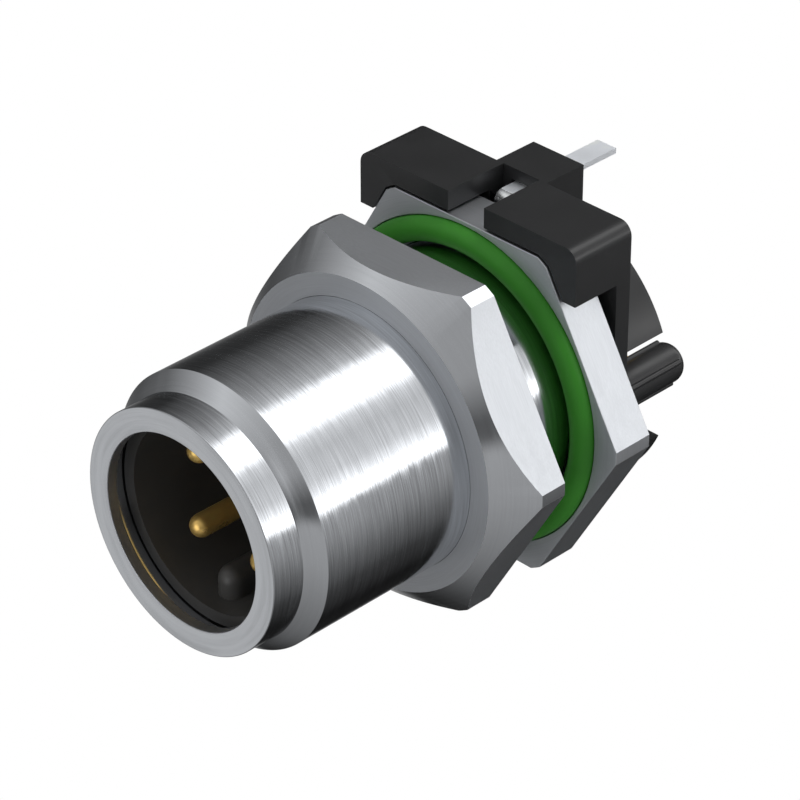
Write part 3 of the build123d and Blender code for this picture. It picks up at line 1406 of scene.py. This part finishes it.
@dataclass
class Studio:
    """Light tent, pale floor, world and camera.

    The tent's brightness round the connector axis is given as pairs of an angle in degrees, from
    +X towards +Z, and a level. One row holds behind the flange and one ahead of the mating face,
    and `handover` is where one gives way to the other, as the Y of the direction.
    """

    tent_radius: float = 0.5
    tent_steps: int = 6
    floor_height: float = -0.6
    floor_size: float = 8.0
    floor_grey: float = 0.85
    world_grey: float = 0.8
    aim: Place = (4.093, -7.811, 4.366)
    azimuth: float = 44.873
    elevation: float = 32.416
    distance: float = 149.853
    lens: float = 173.69
    sensor: float = 36.0
    clip: Point = (0.01, 20.0)
    brightest: float = 4.0
    front_panel: float = 1.2
    front_panel_edges: Point = (-0.97, -0.88)
    card: float = 0.54
    card_direction: Place = (-0.596, -0.598, -0.536)
    card_edges: Point = (0.987, 0.996)
    handover: Point = (-0.25, 0.4)
    behind: tuple[Point, ...] = (
        (-180, 0.035), (-168, 0.05), (-155, 0.14), (-142, 0.3), (-132, 0.42),
        (-126, 0.25), (-119, 0.015), (-92, 0.01), (-63, 0.05), (-39, 0.17),
        (-15, 0.36), (2, 0.42), (7, 2.7), (13, 2.5), (17, 1.5),
        (28, 0.85), (48, 0.7), (60, 0.9), (67, 2.0), (89.5, 2.0),
        (97.5, 0.6), (117, 0.3), (141, 0.13), (165, 0.035),
    )
    ahead: tuple[Point, ...] = (
        (-171, 0.15), (-160, 0.12), (-138, 0.06), (-119, 0.05), (-84, 0.21),
        (-42, 0.4), (-12, 0.46), (-2, 0.13), (10, 0.12), (42, 0.41),
        (74, 0.42), (106, 0.58), (132, 0.75), (154, 0.42), (173, 0.17),
    )

    def ramp(self, s: Shader, share: object, stops: tuple[Point, ...]) -> Socket:
        """Place a ramp of brightness round the connector axis.

        Args:
            s: The hand for the tent's nodes.
            share: The angle as a share of a full turn.
            stops: The brightness by angle.

        Returns:
            The brightness as a share of the brightest.
        """
        node = s.add("ShaderNodeValToRGB")
        elements = node.color_ramp.elements
        while len(elements) > 1:
            elements.remove(elements[-1])
        for number, (angle, level) in enumerate(stops):
            place = (angle + 180) / 360
            element = elements[0] if number == 0 else elements.new(place)
            element.position = place
            grey = level / self.brightest
            element.color = (grey, grey, grey, 1)
        s.feed(node, 0, share)
        return node.outputs[0]

    def build_tent(self) -> None:
        """Hang the light tent round the connector."""
        deselect_everything()
        bpy.ops.mesh.primitive_ico_sphere_add(subdivisions=self.tent_steps, radius=self.tent_radius)
        tent = bpy.context.object
        tent.name = "light_tent"
        tent.visible_camera = False
        material = bpy.data.materials.new("tent_fabric")
        material.use_nodes = True
        material.cycles.emission_sampling = "NONE"
        s = Shader(material.node_tree)
        direction = s.vector("NORMALIZE", s.add("ShaderNodeTexCoord").outputs["Object"])
        parts = s.add("ShaderNodeSeparateXYZ")
        s.feed(parts, 0, direction)
        x, y, z = parts.outputs
        share = s.math("ADD", s.math("DIVIDE", s.math("ARCTAN2", z, x), 2 * math.pi), 0.5)
        mix = s.add("ShaderNodeMix", data_type="RGBA")
        factor, first_colour, second_colour = 0, 6, 7  # its sockets share their names
        s.feed(mix, factor, s.span(y, self.handover, (0, 1), smooth=True))
        s.feed(mix, first_colour, self.ramp(s, share, self.ahead))
        s.feed(mix, second_colour, self.ramp(s, share, self.behind))
        panel_level, card_level = self.front_panel / self.brightest, self.card / self.brightest
        panel = s.span(y, self.front_panel_edges, (panel_level, 0), smooth=True)
        nearness = s.vector("DOT_PRODUCT", direction, self.card_direction)
        card = s.span(nearness, self.card_edges, (0, card_level), smooth=True)
        glow = s.add("ShaderNodeEmission")
        s.feed(glow, "Color", s.vector("ADD", mix.outputs[2], s.math("ADD", panel, card)))
        s.feed(glow, "Strength", self.brightest)
        s.feed(s.add("ShaderNodeOutputMaterial"), "Surface", glow.outputs[0])
        tent.data.materials.append(material)

    def white_where_seen(self, s: Shader, plain: Node, white: Node) -> Socket:
        """Mix two shaders, the white one for the camera, in metal and through glass.

        Args:
            s: The hand for the nodes.
            plain: The shader that lights the connector.
            white: The shader that is seen.

        Returns:
            The mixed shader.
        """
        path = s.add("ShaderNodeLightPath").outputs
        seen = s.math("MAXIMUM", path["Is Camera Ray"], path["Is Glossy Ray"])
        mix = s.add("ShaderNodeMixShader")
        s.feed(mix, 0, s.math("MAXIMUM", seen, path["Is Transmission Ray"]))
        s.feed(mix, 1, plain.outputs[0])
        s.feed(mix, 2, white.outputs[0])
        return mix.outputs[0]

    def build_floor(self) -> None:
        """Lay the pale floor under the tent."""
        deselect_everything()
        bpy.ops.mesh.primitive_plane_add(size=self.floor_size, location=(0, 0, self.floor_height))
        floor = bpy.context.object
        floor.name = "floor"
        material = bpy.data.materials.new("pale_floor")
        material.use_nodes = True
        s = Shader(material.node_tree)
        plain = s.add("ShaderNodeBsdfDiffuse")
        s.feed(plain, "Color", (self.floor_grey, self.floor_grey, self.floor_grey, 1))
        white = s.add("ShaderNodeEmission")
        s.feed(white, "Strength", 1.0)
        shown = self.white_where_seen(s, plain, white)
        s.feed(s.add("ShaderNodeOutputMaterial"), "Surface", shown)
        floor.data.materials.append(material)

    def build_world(self) -> None:
        """Make a pale world that is white where it is seen."""
        world = bpy.data.worlds.new("studio")
        bpy.context.scene.world = world
        world.use_nodes = True
        s = Shader(world.node_tree)
        plain = s.add("ShaderNodeBackground")
        s.feed(plain, "Color", (self.world_grey, self.world_grey, self.world_grey, 1))
        white = s.add("ShaderNodeBackground")
        s.feed(white, "Color", (1, 1, 1, 1))
        shown = self.white_where_seen(s, plain, white)
        s.feed(s.add("ShaderNodeOutputWorld"), "Surface", shown)

    def build_camera(self) -> None:
        """Set the camera at the photograph's viewing angle."""
        azimuth, elevation = math.radians(self.azimuth), math.radians(self.elevation)
        level = math.cos(elevation)
        back = Vector((math.sin(azimuth) * level, -math.cos(azimuth) * level, math.sin(elevation)))
        data = bpy.data.cameras.new("camera")
        data.lens = self.lens
        data.sensor_width = self.sensor
        data.clip_start, data.clip_end = self.clip
        camera = bpy.data.objects.new("camera", data)
        bpy.context.scene.collection.objects.link(camera)
        camera.location = (Vector(self.aim) + back * self.distance) * MM
        camera.rotation_mode = "QUATERNION"
        camera.rotation_quaternion = (-back).to_track_quat("-Z", "Y")
        bpy.context.scene.camera = camera

    def build(self) -> None:
        """Set up the whole studio."""
        self.build_tent()
        self.build_floor()
        self.build_world()
        self.build_camera()
        bpy.context.scene.view_settings.view_transform = "Standard"


def main() -> None:
    """Build the sub-assemblies in order, dress them and set up the studio."""
    logging.basicConfig(level=logging.INFO, format="%(message)s")
    finishes = make_finishes()
    contacts = Contacts()
    places = contacts.places()
    sub_assemblies = (
        Housing(),
        LockNut(),
        SealRing("flange_o_ring", "panel_seal", "green_seal", Finish.PANEL_SEAL),
        SealRing("insert_seal", "bore_seal", "black_seal", Finish.BORE_SEAL),
        Insert(places),
        Retainer(places),
        contacts,
        BoardCarrier(),
        ShieldLug(),
    )
    for sub_assembly in sub_assemblies:
        for piece in sub_assembly.build():
            sub_assembly.dress(piece, finishes)
            LOG.info("%s built and dressed", piece.name)
    Studio().build()


if __name__ == "__main__":
    main()
